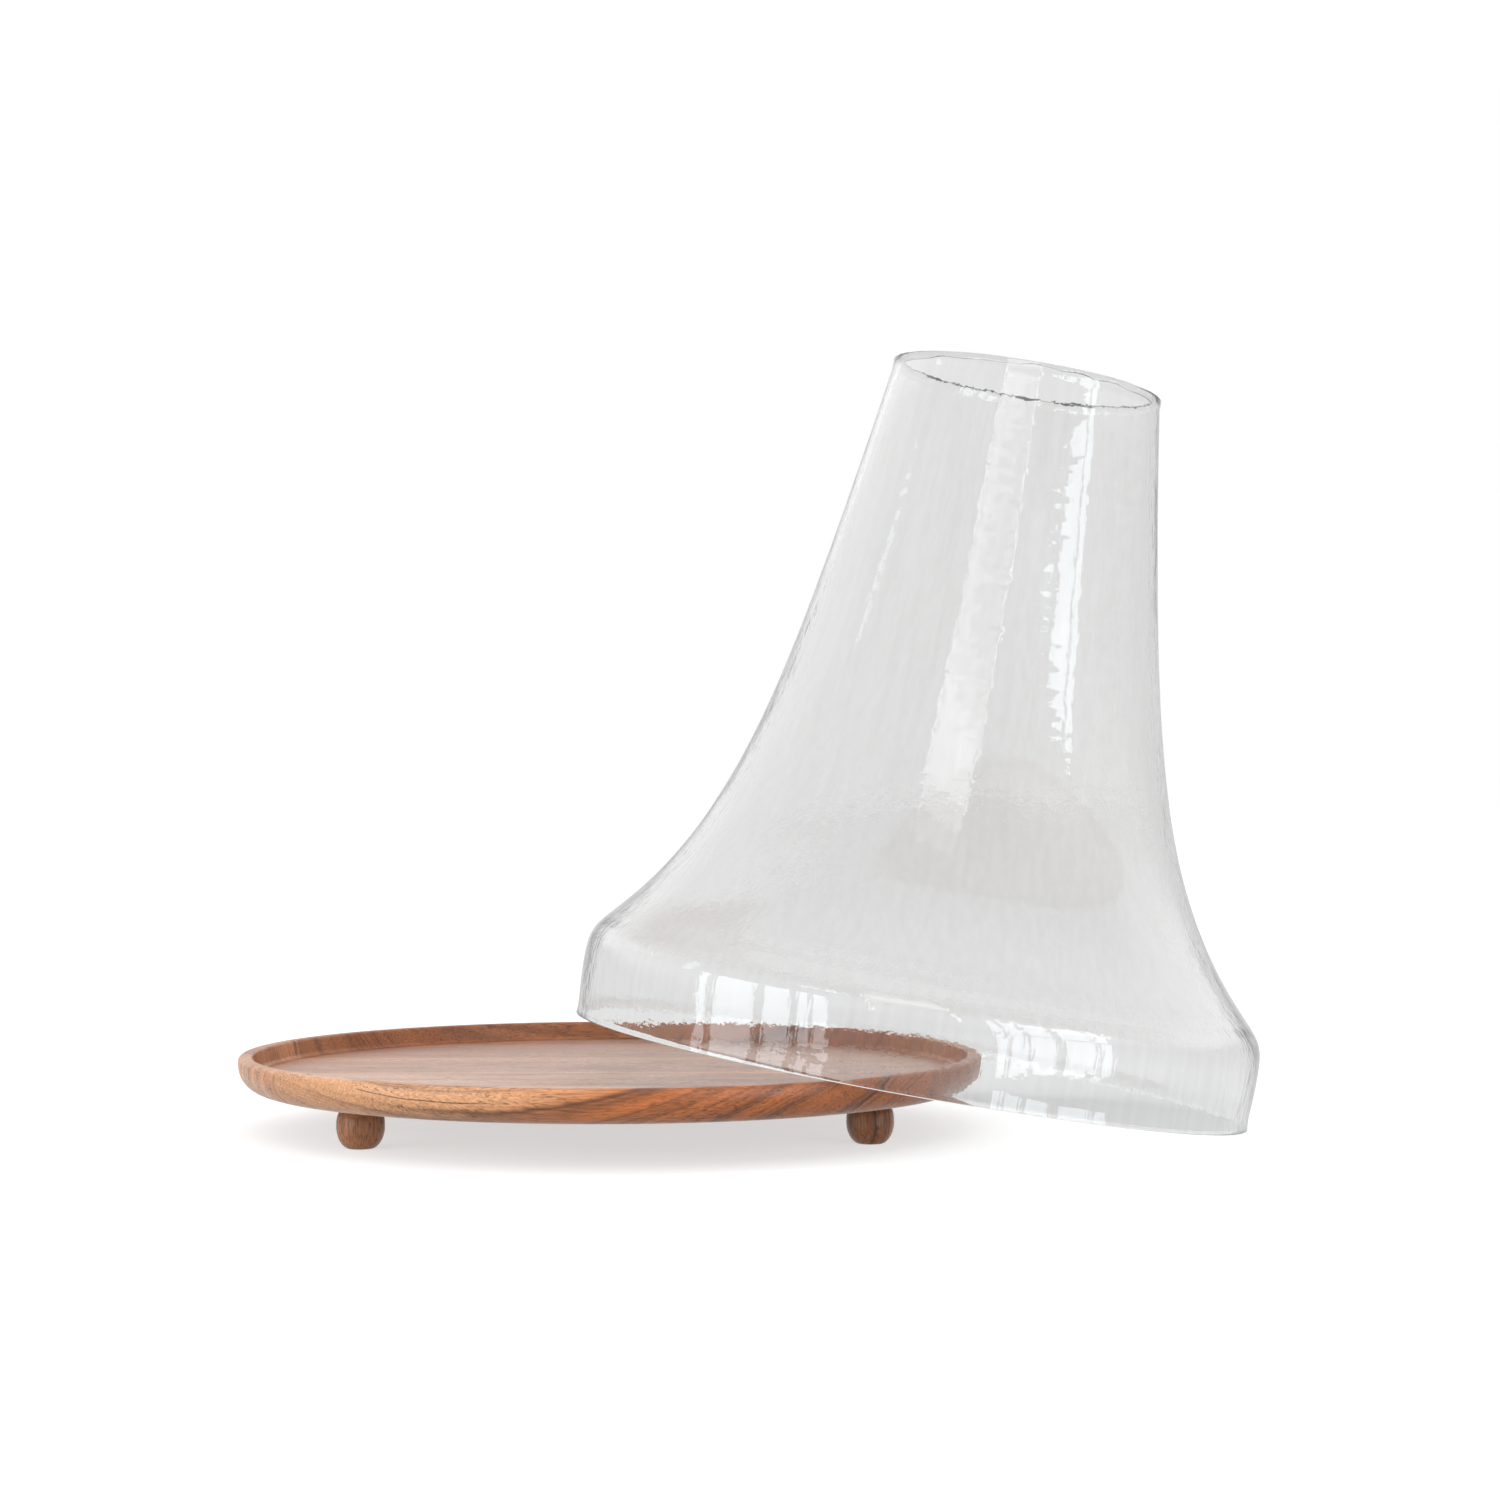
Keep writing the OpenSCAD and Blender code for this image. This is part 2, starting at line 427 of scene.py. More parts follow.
def wood_material(name, home, look, upright=False):
    """Satin oiled hardwood: growth figure, fibres, short dark pores and a rubbed finish."""
    shade = Shade(name, home)
    place = wood_place(shade, upright)
    colour = wood_figure(shade, place, look)
    fibres = shade.noise(place, (45, 1100, 1100), look["seed"] + 23, detail=3, roughness=0.6)
    shading = shade.fade(fibres, 0.3, 0.7, 1.2, 0.76)
    colour = shade.vector("MULTIPLY", colour, shade.join(shading, shading, shading))
    pores = shade.noise(place, (170, 1100, 1100), look["seed"] + 29, detail=1)
    pores = shade.fade(pores, 0.57, 0.65)
    crowd = shade.noise(place, (12, 90, 90), look["seed"] + 31)
    pores = shade.math("MULTIPLY", pores, shade.fade(crowd, 0.35, 0.6, 0.25, 1.0))
    colour = shade.mix(shade.math("MULTIPLY", pores, 0.6), colour, look["pore"])
    if "knot" in look:
        colour = knot(shade, place, colour, look)
    # Painted sheen: the recess's floor is mixed towards a pale grey
    if "floor_sheen" in look:
        colour = painted_floor_sheen(shade, place, colour, look["floor_sheen"])
    rubbed = shade.noise(place, (25, 60, 60), look["seed"] + 37, detail=4)
    gloss = shade.fade(rubbed, 0.3, 0.7, look["rough"] - 0.05, look["rough"] + 0.05)
    gloss = shade.math("MULTIPLY_ADD", pores, 0.15, gloss)
    height = shade.math("MULTIPLY_ADD", pores, -0.8, shade.math("MULTIPLY", fibres, 0.35))
    normal = shade.bump(height, 0.08 * MM, look["relief"])
    return shade.finish(
        Base_Color=colour, Roughness=gloss, Normal=normal, IOR=1.5, Specular_IOR_Level=0.3
    )


# What a look holds. Grain: its tilt in degrees, its bow, and bow_x, where it turns. Tone: how fast the
# wood darkens to the right of light_end, and how dark its tail, banding and veining are. Surface: how
# strong the painted sheen on the floor is, the roughness and the relief. Then its colours, and a streak
# or knot if it has one.
BOARD_LOOK = {
    "tilt": 75,
    "bow": 0.12,
    "bow_x": 0.02,
    "darkens": 0.0,
    "light_end": 0.0,
    "tail": 0.0,
    "banding": 0.75,
    "veining": 0.7,
    "floor_sheen": 0.15,
    "rough": 0.31,
    "relief": 0.6,
    "light": (0.44, 0.185, 0.085, 1),
    "middle": (0.30, 0.105, 0.042, 1),
    "dark": (0.13, 0.05, 0.026, 1),
    "vein": (0.05, 0.024, 0.016, 1),
    "pore": (0.06, 0.028, 0.018, 1),
}
BOARD_LOOKS = {
    "front_board": {
        "seed": 2.0,
        "tilt": 8,
        "bow": 2.1,
        "bow_x": -0.055,
        "darkens": 2.2,
        "light_end": -0.045,
        "tail": 0.42,
        "banding": 1.0,
        "veining": 1.0,
        "streak": 0.001,
        "light": (0.57, 0.29, 0.145, 1),
        "middle": (0.4, 0.12, 0.035, 1),
    },
    "front_middle_board": {
        "seed": 11.0,
        "tilt": 70,
        "bow": 0.3,
        "darkens": 1.6,
        "light_end": -0.06,
        "tail": 0.3,
        "knot": (-0.167, -0.101, 0.0335),
        "light": (0.55, 0.28, 0.15, 1),
    },
    "middle_board": {"seed": 23.0, "tilt": 82, "bow": -0.15},
    "back_middle_board": {
        "seed": 31.0,
        "tilt": 65,
        "bow": 0.25,
        "light": (0.31, 0.115, 0.042, 1),
        "middle": (0.26, 0.085, 0.034, 1),
    },
    "back_board": {
        "seed": 47.0,
        "tilt": 40,
        "bow": -0.4,
        "light": (0.27, 0.095, 0.034, 1),
        "middle": (0.16, 0.046, 0.015, 1),
    },
}
FOOT_LOOK = {
    "tilt": 35,
    "bow": 1.0,
    "bow_x": 0.01,
    "darkens": 0.0,
    "light_end": 0.0,
    "tail": 0.0,
    "banding": 0.8,
    "veining": 0.9,
    "rough": 0.36,
    "relief": 0.6,
    "light": (0.36, 0.155, 0.07, 1),
    "middle": (0.2, 0.075, 0.032, 1),
    "dark": (0.07, 0.028, 0.014, 1),
    "vein": (0.03, 0.015, 0.01, 1),
    "pore": (0.03, 0.015, 0.01, 1),
}


def tray_outline(tray):
    """The tray's turned outline, from under its middle round the side and rim to its floor."""
    recess_r = tray["r"] - RIM_W
    floor_r = recess_r - RECESS_DRAFT - COVE_R
    under = (tray["r"] - SIDE_ROUND, tray["under"])
    floor = (floor_r, tray["floor"])
    side_x = tray["r"] - SIDE_ROUND
    crest_x = tray["r"] - CREST_ROUND
    return (
        [(0, tray["under"])]
        + line((0, tray["under"]), under, 16)
        + arc(side_x, tray["under"] + SIDE_ROUND, SIDE_ROUND, -90, 0, 20)
        + arc(crest_x, tray["rim"] - CREST_ROUND, CREST_ROUND, 0, 90, 10)
        + arc(recess_r + INNER_ROUND, tray["rim"] - INNER_ROUND, INNER_ROUND, 90, 180, 8)
        + arc(floor_r, tray["floor"] + COVE_R, COVE_R, 0, -90, 8)
        + line(floor, (0, tray["floor"]), 24)
        + [(0, tray["floor"])]
    )


def board_limits():
    """Where each glue line lies across the grain, counted from the tray's middle."""
    centre = Vector((mount("tray_floor")["pos_m"][0], 0, 0))
    across = Vector((-math.sin(GRAIN_TURN), math.cos(GRAIN_TURN), 0))
    return [max((p - centre).dot(across) for p in node_points(b)) for b in BOARDS[:-1]]


def hand_sanded(points):
    """Points let in by up to SANDING, as sanding leaves a turned surface slightly uneven."""
    out = []
    for x, y, z in points:
        spot = Vector((x, y, z))
        wave = noise.noise(spot * 22) + 0.5 * noise.noise(spot * 65)
        share = min(max(0.5 + wave * 0.6, 0), 1)
        reach = math.hypot(x, y)
        inward = share * SANDING * min(reach / SANDING_R, 1)
        factor = (reach - inward) / reach if reach > 0 else 1
        out.append((x * factor, y * factor, z))
    return out


def cut_board(points, faces, low, high):
    """The part of the tray between two lines across the grain, with its glue faces closed."""
    work = bmesh.new()
    mesh = new_mesh("cut", points, faces)
    work.from_mesh(mesh)
    bpy.data.meshes.remove(mesh)
    for limit, side in ((low, -1), (high, 1)):
        if limit is None:
            continue
        geometry = work.verts[:] + work.edges[:] + work.faces[:]
        cut = bmesh.ops.bisect_plane(
            work, geom=geometry, plane_co=(0, limit, 0), plane_no=(0, side, 0), clear_outer=True
        )
        edges = [e for e in cut["geom_cut"] if isinstance(e, bmesh.types.BMEdge)]
        bmesh.ops.contextual_create(work, geom=edges)
    bmesh.ops.recalc_face_normals(work, faces=work.faces)
    out = bpy.data.meshes.new("board")
    work.to_mesh(out)
    work.free()
    return out


def make_boards(tray):
    """Five glued boards, turned as one and parted at their glue lines. Their X is the grain."""
    points, faces = lathe(tray_outline(tray), TRAY_SEGMENTS, closed=False)
    points = hand_sanded(points)
    place = Matrix.Translation((tray["x"], 0, 0)) @ Matrix.Rotation(GRAIN_TURN, 4, "Z")
    limits = [None] + board_limits() + [None]
    for name, low, high in zip(BOARDS, limits, limits[1:]):
        mesh = cut_board(points, faces, low, high)
        smooth(mesh, 35)
        material = wood_material(name + "_wood", place, {**BOARD_LOOK, **BOARD_LOOKS[name]})
        add_piece("turned_" + name, mesh, place, "tray", material, name)


def foot_outline(height, radius):
    """A bun foot's outline round its stepped screw hole, from the hole's foot outwards."""
    edge = FOOT_EDGE
    oval = height * FOOT_OVAL

    def reach(z):
        return radius * (1 - (abs(2 * z - height) / oval) ** FOOT_SWELL) ** (1 / FOOT_SWELL)

    heights = [height * i / FOOT_STEPS for i in range(1, FOOT_STEPS)]
    side = [(reach(z) - FOOT_GROOVES.get(i, 0), z) for i, z in enumerate(heights)]
    return (
        [(FOOT_HEAD_R, 0), (reach(0) - edge, 0), (reach(0), edge / 3)]
        + side
        + [(reach(height), height - edge / 3), (reach(height) - edge, height)]
        + [(FOOT_BORE_R, height), (FOOT_BORE_R, FOOT_HEAD_DEPTH), (FOOT_HEAD_R, FOOT_HEAD_DEPTH)]
    )


def make_feet():
    """Three turned bun feet, each with its own piece of wood."""
    for i, name in enumerate(FEET):
        low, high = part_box(name)
        height = high[2] - low[2]
        radius = (high[0] - low[0]) / 2
        centre = ((low[0] + high[0]) / 2, (low[1] + high[1]) / 2, low[2])
        points, faces = lathe(foot_outline(height, radius), FOOT_SEGMENTS, closed=True)
        mesh = new_mesh(name, points, faces)
        smooth(mesh, 40)
        look = {**FOOT_LOOK, "seed": 5.0 + 9 * i}
        place = Matrix.Translation(centre) @ Matrix.Rotation(0.7 + 1.9 * i, 4, "Z")
        material = wood_material(name + "_wood", place, look, upright=True)
        add_piece("turned_" + name, mesh, place, "tray", material, name)


# ---------------------------------------------------------------- screws


def zinc_material():
    """Bright zinc plating with fine turning marks round the screw's axis."""
    shade = Shade("zinc_plate")
    place = shade.place()
    z = shade.split(place)["Z"]
    rings = shade.noise(shade.join(0.0, 0.0, z), (1, 1, 4000), detail=2)
    cloud = shade.noise(place, (400, 400, 400), 3.0, detail=3)
    colour = shade.mix(cloud, (0.62, 0.64, 0.66, 1), (0.80, 0.79, 0.74, 1))
    rough = shade.fade(shade.math("ADD", rings, cloud), 0.7, 1.3, 0.22, 0.4)
    normal = shade.bump(rings, 0.03 * MM, 0.5)
    return shade.finish(Base_Color=colour, Metallic=1.0, Roughness=rough, Normal=normal)


def dress_screws():
    """The CAD screws keep their shape and get their plating."""
    material = zinc_material()
    for name in SCREWS:
        mesh = frame["nodes"][name]
        for slot in mesh.material_slots:
            slot.material = material


# ---------------------------------------------------------------- the glass bell


def bell_walls(place):
    """Rows of (height, outer radius, inner radius) up the bell, in its own frame, from the CAD."""
    back = place.inverted()
    rows = {}
    for point in node_points(BELL):
        local = back @ point
        rows.setdefault(round(local.z, 5), []).append(math.hypot(local.x, local.y))
    top = max(rows)
    walls = [(z, max(r), min(r)) for z, r in sorted(rows.items())]
    walls = [row for row in walls if LIP_ZONE < row[0] < top - MOUTH_ZONE]
    return top, [row for row in walls if row[1] - row[2] > LEAST_WALL]


def through(heights, values, at):
    """A smooth curve through rows of values, read at new heights."""
    slopes = np.gradient(values, heights)
    i = np.clip(np.searchsorted(heights, at) - 1, 0, len(heights) - 2)
    step = heights[i + 1] - heights[i]
    t = (at - heights[i]) / step
    low, high = values[i], values[i + 1]
    curve = (2 * t**3 - 3 * t**2 + 1) * low + (-2 * t**3 + 3 * t**2) * high
    return curve + (t**3 - 2 * t**2 + t) * step * slopes[i] + (t**3 - t**2) * step * slopes[i + 1]


def even_heights(heights, radii, count):
    """Heights that lie evenly along the curve of the wall."""
    fine = np.linspace(heights[0], heights[-1], 4000)
    reach = through(heights, radii, fine)
    length = np.concatenate([[0], np.cumsum(np.hypot(np.diff(fine), np.diff(reach)))])
    return np.interp(np.linspace(0, length[-1], count), length, fine)


def bell_outline(place):
    """The bell's outline, closed: up the outside, over the mouth, down the inside, round the lip."""
    top, walls = bell_walls(place)
    heights, outer, inner = (np.array(column) for column in zip(*walls))
    at = even_heights(heights, outer, BELL_ROWS)
    outside = list(zip(through(heights, outer, at), at))
    rise = np.clip((at - SKIRT_RISE[0]) / (SKIRT_RISE[1] - SKIRT_RISE[0]), 0, 1)
    thinner = SKIRT_THIN * (1 - rise * rise * (3 - 2 * rise))
    inside = list(zip(through(heights, inner, at) + thinner, at))
    lip, edge = LIP_ROUND, MOUTH_EDGE
    base_out, base_in = outside[0][0], inside[0][0]
    mouth_out, mouth_in = outside[-1][0], inside[-1][0]
    base = arc(base_in + lip, lip, lip, 180, 270, LIP_STEPS)
    base += arc(base_out - lip, lip, lip, 270, 360, LIP_STEPS)
    mouth = [(mouth_out, top - edge), (mouth_out - edge / 3, top - edge / 3)]
    mouth += [(mouth_out - edge, top), (mouth_in + edge, top)]
    mouth += [(mouth_in + edge / 3, top - edge / 3), (mouth_in, top - edge)]
    return base + outside + mouth + inside[::-1]


def waves(spot, layers):
    """The sum of some layers of waves."""
    x, y, z = spot
    total = 0.0
    for around, up, height, seed in layers:
        total += height * noise.noise(Vector((x * around + seed, y * around, z * up - seed)))
    return total


def mouth_dip(x, y):
    """How far the mouth's edge dips there, as it cracked off unevenly."""
    uneven = noise.noise(Vector((x * 25, y * 25, 3)))
    uneven += 0.6 * noise.noise(Vector((x * 110, y * 110, 9)))
    return MOUTH_UNEVEN * (1 - uneven)


def mouth_chip(x, y):
    """How far the mouth's inner edge is chipped there."""
    return MOUTH_CHIPPED * max(noise.noise(Vector((x * 60, y * 60, 5))) + 0.25, 0)


def blown(points, rows):
    """The bell's points moved as blowing leaves them: wavy, of uneven thickness, with an uneven mouth.
    Every move is inwards from the CAD outline, or down at the mouth."""
    out = []
    mouth_row = LIP_POINTS + BELL_ROWS
    last_mouth_row = mouth_row + MOUTH_POINTS - 1
    for row in range(rows):
        outer = LIP_POINTS / 2 <= row < mouth_row + MOUTH_POINTS / 2
        layers = SHARED_WAVES + (OUTER_WAVES if outer else INNER_WAVES)
        for x, y, z in points[row * BELL_SEGMENTS : (row + 1) * BELL_SEGMENTS]:
            reach = math.hypot(x, y)
            fade = min(z / WAVES_START, 1)
            move = (waves((x, y, z), layers) - WAVES_IN) * fade
            factor = (reach + move) / reach
            if mouth_row <= row <= last_mouth_row:
                z -= mouth_dip(x, y)
            if row == last_mouth_row:
                z -= mouth_chip(x, y)
            out.append((x * factor, y * factor, z))
    return out


def neck_lumps(shade, place):
    """Lumps that the blower's jacks left on the neck's front, fading out towards its sides and mouth."""
    x, y, z = shade.split(place)
    lumps = shade.noise(place, (75, 75, 115), 23.0, detail=1.5)
    for share in (
        shade.fade(z, 120 * MM, 200 * MM, 0.0, 1.7),
        shade.fade(z, 345 * MM, 368 * MM, 1.0, 0.0),
        shade.fade(y, -50 * MM, -30 * MM, 1.0, 0.0),
        shade.fade(shade.math("ABSOLUTE", x), 58 * MM, 70 * MM, 1.0, 0.0),
    ):
        lumps = shade.math("MULTIPLY", lumps, share)
    return lumps


def glass_relief(shade, place):
    """Ripples and fine pulled lines, with more waviness near the lip and on the neck's front."""
    ripples = shade.noise(place, (60, 60, 60), 9.0, detail=4, roughness=0.6)
    pull = shade.noise(place, (420, 420, 10), 12.0, detail=2)
    height = shade.math("MULTIPLY_ADD", pull, 0.25, ripples)
    z = shade.split(place)["Z"]
    lip = shade.noise(place, (60, 60, 110), 31.0, detail=2)
    lip = shade.math("MULTIPLY", lip, shade.fade(z, 4 * MM, 30 * MM, 0.9, 0.0))
    height = shade.math("ADD", height, lip)
    height = shade.math("ADD", height, neck_lumps(shade, place))
    return shade.bump(height, 0.12 * MM)


def glass_colour(shade, place):
    """Nearly white, with faint cords up the wall, and painted shade: greyer where the wall is seen edge
    on.
    """
    cords = shade.noise(place, (200, 200, 2), 17.0, detail=5, roughness=0.65)
    colour = shade.mix(shade.fade(cords, 0.38, 0.62), (1, 1, 1, 1), (0.965, 0.967, 0.962, 1))
    # Painted shade: grey towards the outline, for the dark lines that refraction draws there
    edge = shade.node("ShaderNodeLayerWeight", {"Blend": 0.5}, output="Facing")
    edge = shade.fade(edge, 0.72, 0.97, 0.0, 0.5)
    return shade.mix(edge, colour, (0.3, 0.32, 0.32, 1))


def glass_material(home):
    """Clear blown glass: wavy, faintly smudged, grey through its depth, and clear to the lamps."""
    shade = Shade("blown_glass", home)
    place = shade.place()
    smudge = shade.noise(place, (14, 14, 6), 4.0, detail=5, roughness=0.65)
    rough = shade.fade(smudge, 0.52, 0.75, 0.0, 0.06)
    normal = glass_relief(shade, place)
    colour = glass_colour(shade, place)
    shade.finish(
        Base_Color=colour, Transmission_Weight=1.0, IOR=1.5, Roughness=rough, Normal=normal
    )
    depth = shade.node("ShaderNodeVolumeAbsorption", {"Color": (0.8, 0.805, 0.8, 1), "Density": 60})
    shade.tree.links.new(depth, shade.out.inputs["Volume"])
    lamp = shade.node("ShaderNodeLightPath", output="Is Shadow Ray")
    clear = shade.node("ShaderNodeBsdfTransparent", {"Color": (0.96, 0.97, 0.96, 1)})
    mixed = shade.node("ShaderNodeMixShader", {0: lamp, 1: shade.shader.outputs[0], 2: clear})
    shade.tree.links.new(mixed, shade.out.inputs["Surface"])
    return shade.material


def painted_rim_shade_material(home):
    """Painted shade on the top of the mouth's far side: near black and opaque, for the dark line that
    rim shows. It is mottled, and bumped as a cracked-off face.
    """
    shade = Shade("painted_rim_shade", home)
    chips = shade.noise(shade.place(), (260, 260, 260), 6.0, detail=4)
    colour = shade.mix(shade.fade(chips, 0.35, 0.65), (0.01, 0.012, 0.012, 1), (0.1, 0.105, 0.105, 1))
    normal = shade.bump(chips, 0.4 * MM, 0.8)
    return shade.finish(
        Base_Color=colour, Transmission_Weight=0.0, IOR=1.5, Roughness=0.5, Normal=normal
    )


def make_bell():
    """The blown glass, with painted shade on the top of the mouth's far side."""
    place = bell_place()
    outline = bell_outline(place)
    points, faces = lathe(outline, BELL_SEGMENTS, closed=True)
    points = blown(points, len(outline))
    mesh = new_mesh("bell", points, faces)
    smooth(mesh, 60)
    add_piece("blown_bell", mesh, place, "bell", glass_material(place), BELL)
    mesh.materials.append(painted_rim_shade_material(place))
    # The far side of the mouth's top gets the painted shade material
    cut, rim_shade_end = LIP_POINTS + BELL_ROWS + 2, LIP_POINTS + BELL_ROWS + MOUTH_POINTS - 1
    for face in mesh.polygons[cut * BELL_SEGMENTS : rim_shade_end * BELL_SEGMENTS]:
        if face.center.y > RIM_SHADE_FROM:
            face.material_index = 1


# ---------------------------------------------------------------- stage, camera and light

# The room's wall lies this far from the set, in metres. Panes, sides and gaps are (start, stop) in
# degrees round from the camera, and rows and tiers are (low, high) in degrees up from SIGHT, a height.
ROOM = 3.0
SIGHT = 0.05
WINDOW = 5.0
WINDOW_COLOUR = (0.87, 0.94, 1.0)
RIGHT_PANES = [(23.6, 26.4), (28, 33.1), (34.8, 42.6), (46, 57.3), (58.8, 62.7)]
RIGHT_ROWS = [(-13, 3.6), (4.4, 21.5)]
LEFT_PANES = [(-78.5, -75), (-72, -56.5), (-52.5, -43), (-40.5, -36.5), (-35, -30)]
LEFT_ROWS = [(-12, -5.5), (-4.5, 22)]
# One dimmer pane, higher and further round to the left
HIGH_PANE = (-89, -84)
HIGH_ROW = (20, 34)
HIGH_WINDOW = 2.5
# A broad soft light above the camera, in tiers of (low, high, brightness), and a thin bright gap on
# each side of it
SOFT_SIDES = (-14, 13)
SOFT_TIERS = [
    (28, 31, 1.2),
    (31, 34, 2.4),
    (34, 38, 3.8),
    (38, 42, 3.4),
    (42, 46, 2.0),
    (46, 51, 0.8),
]
GAP_SIDES = [(-15.6, -14.6), (13.6, 14.6)]
GAP_TIER = (11, 42)
GAP = 4.5
# How bright things are, where white is 1: the room near the camera, at its sides, all round above,
# overhead and below, the backdrop behind the set as glass and gloss see it, and the floor's own glow.
# SIDE_GAIN is how much brighter the upper walls are at both sides.
ROOM_NEAR = 0.6
ROOM_SIDES = 0.72
SIDE_GAIN = 1.25
BACKDROP = 0.79
ROOM_WALLS = 1.15
ROOM_TOP = 1.0
ROOM_BELOW = 1.0
FLOOR_GLOW = 0.17
FLOOR_GLOW_SEEN = 0.6
FLOOR_R = 12
FLOOR_T = 1 * MM
# How often light may pass through or bounce between the walls of the glass
BOUNCES = 24
GLOSSY_BOUNCES = 8


def make_camera():
    """A long lens at the photograph's viewing angle."""
    camera = bpy.data.objects.new("camera", bpy.data.cameras.new("camera"))
    bpy.context.scene.collection.objects.link(camera)
    ahead = Vector((math.sin(VIEW_AZIMUTH), math.cos(VIEW_AZIMUTH), math.tan(VIEW_RISE)))
    camera.location = Vector(VIEW_TARGET) - ahead * VIEW_DISTANCE
    camera.rotation_euler = ahead.to_track_quat("-Z", "Y").to_euler()
    camera.data.lens = VIEW_LENS
    camera.data.sensor_width = 36
    camera.data.dof.use_dof = False
    bpy.context.scene.camera = camera


def make_floor():
    """A plain pale floor, faintly mottled. It glows less in glass and gloss than to the camera."""
    shade = Shade("pale_floor")
    mottle = shade.noise(shade.place(), (6, 6, 6), detail=3)
    colour = shade.mix(mottle, (0.46, 0.46, 0.46, 1), (0.49, 0.49, 0.49, 1))
    seen = shade.node("ShaderNodeLightPath", output="Is Camera Ray")
    glow = shade.fade(seen, 0, 1, FLOOR_GLOW, FLOOR_GLOW_SEEN)
    shade.finish(
        Base_Color=colour,
        Roughness=0.9,
        Specular_IOR_Level=0.0,
        Emission_Color=(1, 1, 1, 1),
        Emission_Strength=glow,
    )
    outline = [(0, -FLOOR_T), (FLOOR_R, -FLOOR_T), (FLOOR_R, 0), (0, 0)]
    points, faces = lathe(outline, 96, closed=False)
    mesh = new_mesh("floor", points, faces)
    floor = bpy.data.objects.new("floor", mesh)
    mesh.materials.append(shade.material)
    bpy.context.scene.collection.objects.link(floor)
    floor.visible_glossy = False


def beside(right, near, height):
    """A place so far to the camera's right of the set, and so far from it towards the camera."""
    turn_x, turn_y = math.sin(VIEW_AZIMUTH), math.cos(VIEW_AZIMUTH)
    return Vector((right * turn_y - near * turn_x, -right * turn_x - near * turn_y, height))


def panel(name, place, target, width, height, strength, colour=(1, 1, 1)):
    """An area light that shows in reflections only. strength is its brightness, where white is 1."""
    data = bpy.data.lights.new(name, "AREA")
    data.shape = "RECTANGLE"
    data.size, data.size_y = width, height
    data.energy = strength * width * height * math.pi
    data.color = colour
    lamp = bpy.data.objects.new(name, data)
    lamp.location = place
    lamp.rotation_euler = (target - place).to_track_quat("-Z", "Y").to_euler()
    lamp.visible_camera = False
    lamp.visible_transmission = False
    bpy.context.scene.collection.objects.link(lamp)


def lamp_panel(name, start, stop, low, high, strength, colour=(1, 1, 1)):
    """A panel in the room's wall between two bearings and two elevations, in degrees."""
    bearing = math.radians((start + stop) / 2)
    bottom, top = (SIGHT + ROOM * math.tan(math.radians(e)) for e in (low, high))
    place = beside(ROOM * math.sin(bearing), ROOM * math.cos(bearing), (bottom + top) / 2)
    target = beside(0, 0, (bottom + top) / 2)
    width = 2 * ROOM * math.tan(math.radians(stop - start) / 2)
    panel(name, place, target, width, top - bottom, strength, colour)


def make_lights():
    """Windows at both sides, and a soft light with bright gaps above the camera."""
    for side, panes, rows in (("right", RIGHT_PANES, RIGHT_ROWS), ("left", LEFT_PANES, LEFT_ROWS)):
        for i, (start, stop) in enumerate(panes):
            for j, (low, high) in enumerate(rows):
                name = f"{side}_window_{i}_{j}"
                lamp_panel(name, start, stop, low, high, WINDOW, WINDOW_COLOUR)
    lamp_panel("high_left_window", *HIGH_PANE, *HIGH_ROW, HIGH_WINDOW, WINDOW_COLOUR)
    for i, (low, high, strength) in enumerate(SOFT_TIERS):
        lamp_panel(f"soft_light_{i}", *SOFT_SIDES, low, high, strength)
    for i, (start, stop) in enumerate(GAP_SIDES):
        lamp_panel(f"gap_{i}", start, stop, *GAP_TIER, GAP)


def room_level(nodes, facing):
    """The room round the set: dim near the camera, and the backdrop behind the set."""
    sides = nodes.fade(facing, -0.75, -0.2, ROOM_NEAR, ROOM_SIDES)
    behind = nodes.fade(facing, 0.2, 0.6, 1.0, BACKDROP / ROOM_SIDES)
    return nodes.math("MULTIPLY", sides, behind)


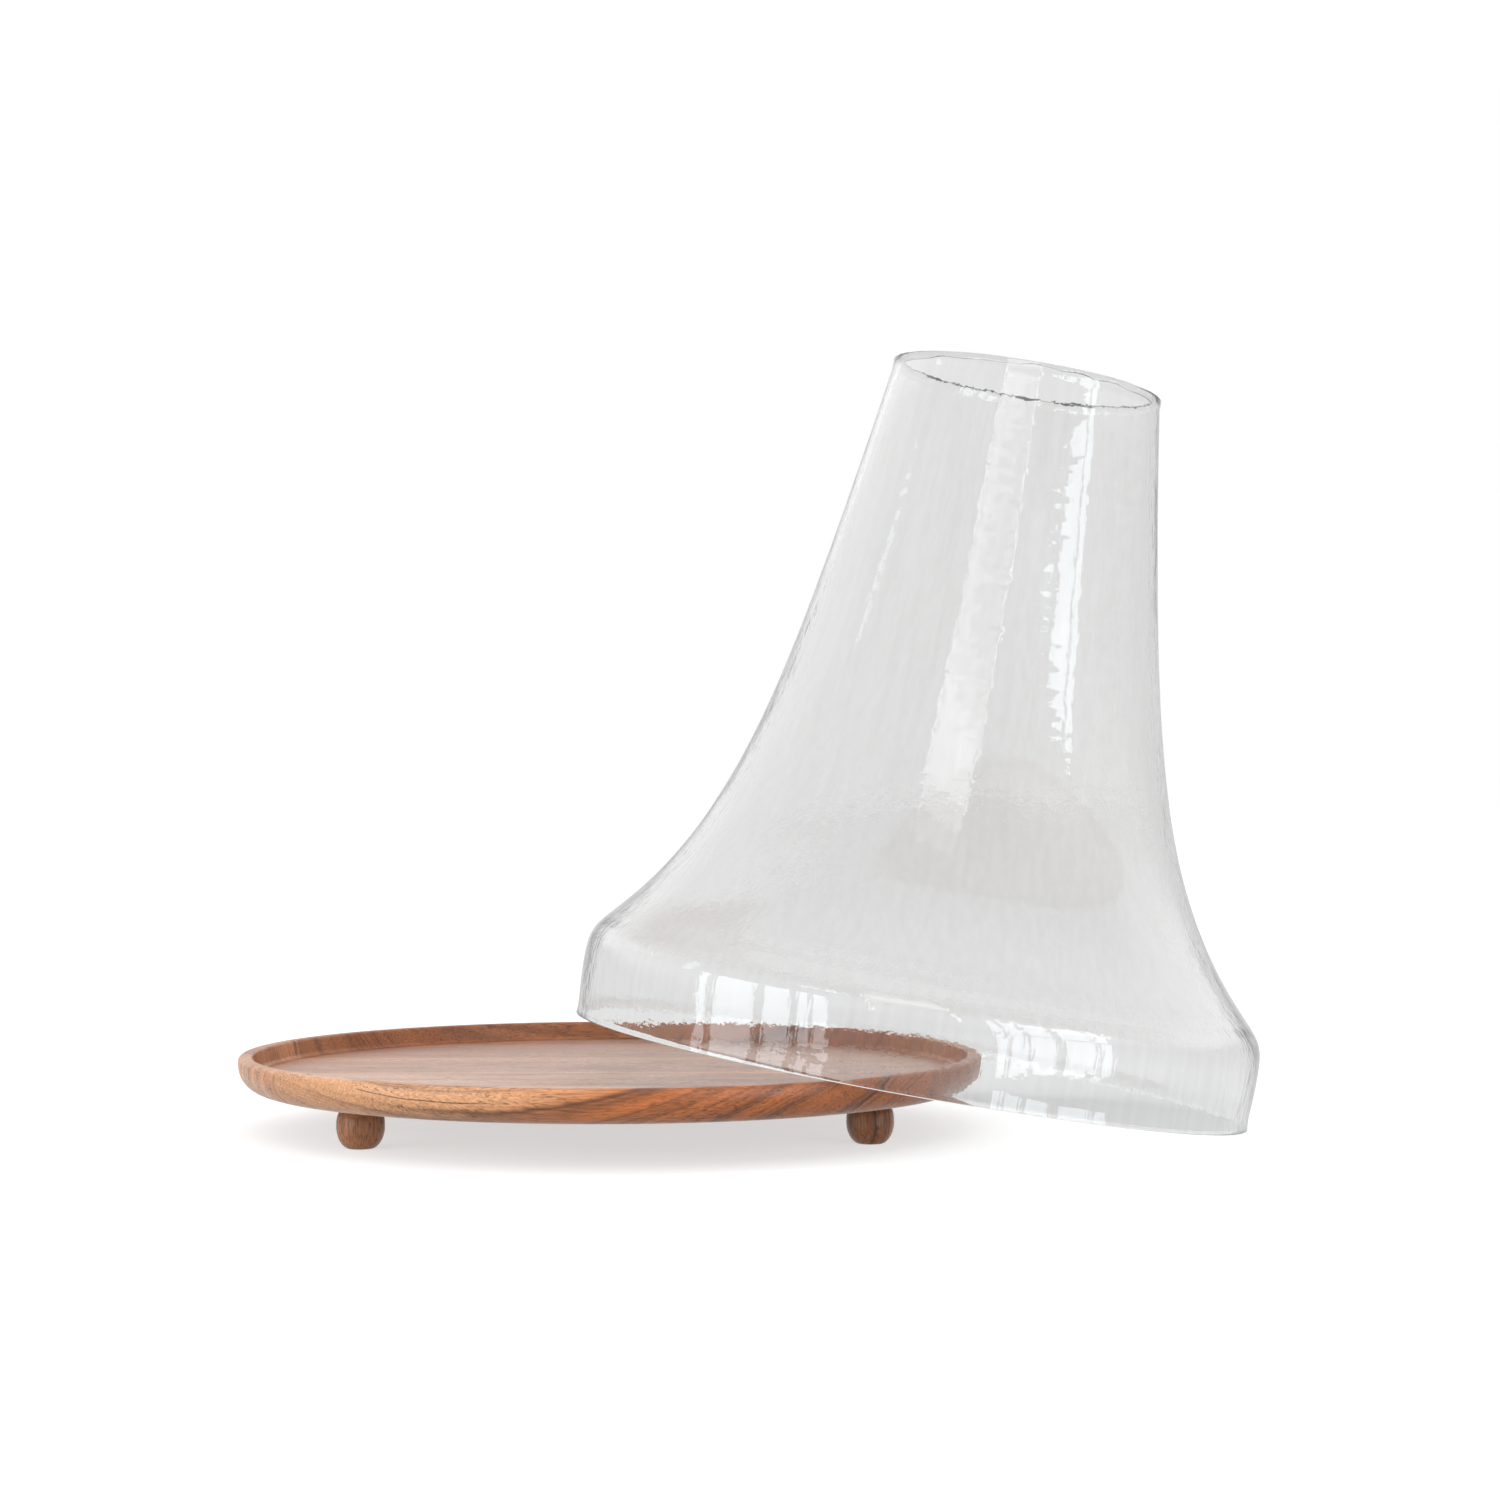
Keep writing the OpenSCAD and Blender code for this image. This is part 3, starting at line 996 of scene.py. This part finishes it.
def upper_level(nodes, facing, rise):
    """The upper walls, brighter at both sides, and the ceiling."""
    walls = nodes.fade(rise, 0.04, 0.28, ROOM_NEAR, ROOM_WALLS)
    top = nodes.fade(rise, 0.35, 0.6, 1.0, ROOM_TOP / ROOM_WALLS)
    above = nodes.math("MULTIPLY", walls, top)
    gain = nodes.fade(nodes.math("ABSOLUTE", facing), 0.3, 0.85, SIDE_GAIN, 1.0)
    return nodes.math("MULTIPLY", above, gain)


def lower_level(nodes, rise):
    """A pale band a little below the horizon, where the glass would see a pale floor."""
    off = nodes.math("ABSOLUTE", nodes.math("ADD", rise, 0.3))
    return nodes.fade(off, 0.08, 0.24, ROOM_BELOW, ROOM_NEAR)


def make_world():
    """White for the camera, and for glass and gloss a pale room that is dimmer near the camera."""
    world = bpy.data.worlds.new("studio")
    bpy.context.scene.world = world
    world.use_nodes = True
    nodes = Nodes(world.node_tree)
    way = nodes.node("ShaderNodeTexCoord", output="Generated")
    ahead = (math.sin(VIEW_AZIMUTH), math.cos(VIEW_AZIMUTH), 0)
    facing = nodes.vector("DOT_PRODUCT", way, ahead, output="Value")
    rise = nodes.split(way)["Z"]
    level = room_level(nodes, facing)
    above = nodes.math("MAXIMUM", upper_level(nodes, facing, rise), lower_level(nodes, rise))
    seen = nodes.node("ShaderNodeLightPath", output="Is Camera Ray")
    strength = nodes.math("MAXIMUM", nodes.math("MAXIMUM", level, above), seen)
    background = nodes.tree.nodes["Background"]
    nodes.feed(background.inputs["Strength"], strength)
    nodes.feed(background.inputs["Color"], (1, 1, 1, 1))


def set_render():
    """Plain colours, and enough bounces to see through every wall of the glass."""
    scene = bpy.context.scene
    scene.view_settings.view_transform = "Standard"
    scene.cycles.max_bounces = BOUNCES
    scene.cycles.transmission_bounces = BOUNCES
    scene.cycles.glossy_bounces = GLOSSY_BOUNCES
    scene.cycles.transparent_max_bounces = BOUNCES


make_camera()
tray = tray_measures()
make_boards(tray)
make_feet()
dress_screws()
make_bell()
make_floor()
make_lights()
make_world()
set_render()
